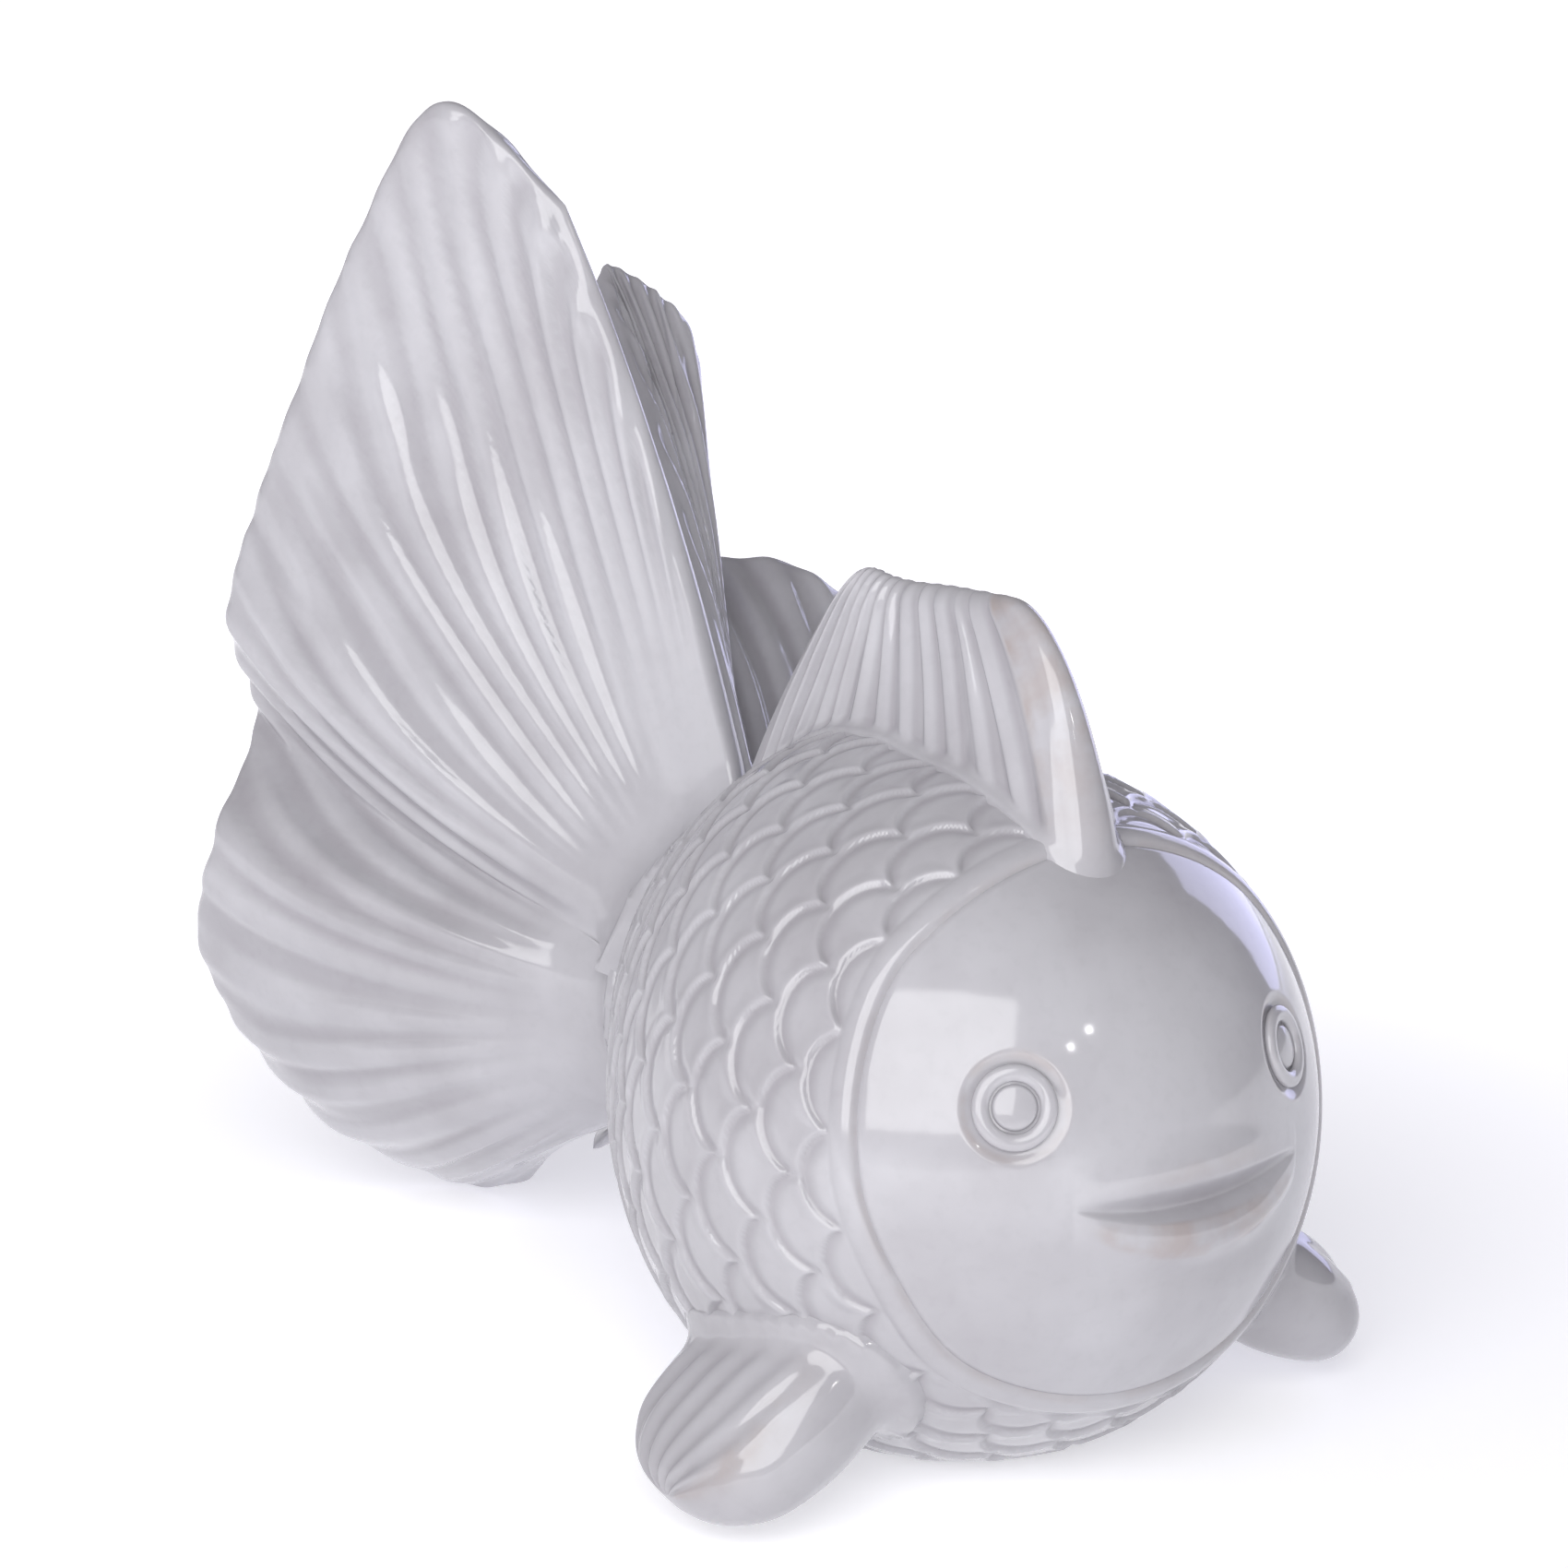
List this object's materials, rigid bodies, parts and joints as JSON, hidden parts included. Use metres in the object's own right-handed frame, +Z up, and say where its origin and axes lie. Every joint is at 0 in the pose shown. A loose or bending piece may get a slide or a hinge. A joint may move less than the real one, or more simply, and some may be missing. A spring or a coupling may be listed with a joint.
{
  "type": "fish figurine",
  "caption": "Round-bodied goldfish ornament in glossy pale glaze, with a tall fan tail, ribbed fins, overlapping scales, a gill collar and a flat foot to stand on.",
  "frame": {"origin": "middle of the flat foot under the belly, on the surface that the ornament stands on", "axes": "+Z up, -Y the way the fish looks, -X the fish's right side"},
  "size_m": [0.1762, 0.2877, 0.2705],
  "materials": {
    "white_glaze": "gloss"
  },
  "bodies": {
    "root": {"body_shell": "white_glaze", "dorsal_fin": "white_glaze", "pectoral_fin_right": "white_glaze", "pectoral_fin_left": "white_glaze", "tail_lobe_right": "white_glaze", "tail_lobe_left": "white_glaze", "eye_ring_right": "white_glaze", "eye_ring_left": "white_glaze", "pupil_right": "white_glaze", "pupil_left": "white_glaze"}
  },
  "joints": []
}
